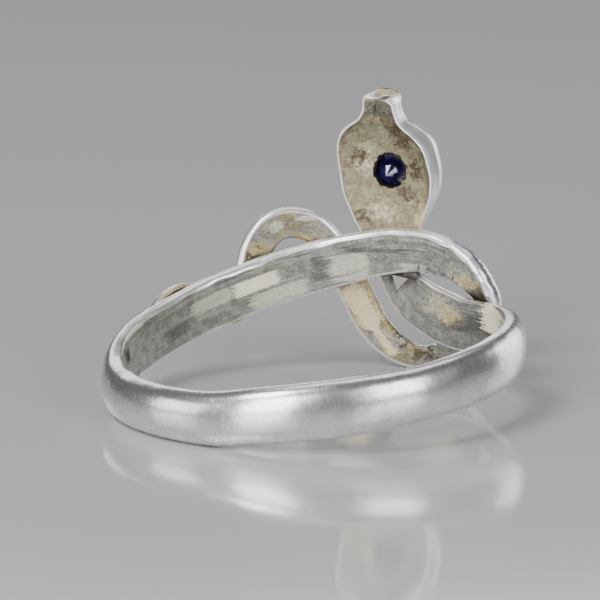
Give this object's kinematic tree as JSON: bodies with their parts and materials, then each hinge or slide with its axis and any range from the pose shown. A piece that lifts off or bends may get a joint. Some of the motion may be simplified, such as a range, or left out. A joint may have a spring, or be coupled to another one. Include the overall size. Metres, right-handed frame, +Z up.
{
  "type": "snake wrap ring",
  "caption": "Half-round metal ring shaped as a snake that wraps the finger, crosses itself and ends in a looped tail, with a faceted stone set in the raised head.",
  "frame": {"origin": "on the finger's axis, at the height of the surface that the ring lies on", "axes": "+Z up along the finger's axis, +Y to the far side with the head, the loop and the tail, +X to the right of a viewer who looks along +Y"},
  "size_m": [0.0194, 0.0211, 0.013],
  "materials": {
    "silver": "satin polished silver outside, brushed and tarnished inside",
    "sapphire": "polished facets, deep blue"
  },
  "bodies": {
    "root": {"snake_body": "silver", "sapphire": "sapphire"}
  },
  "joints": []
}
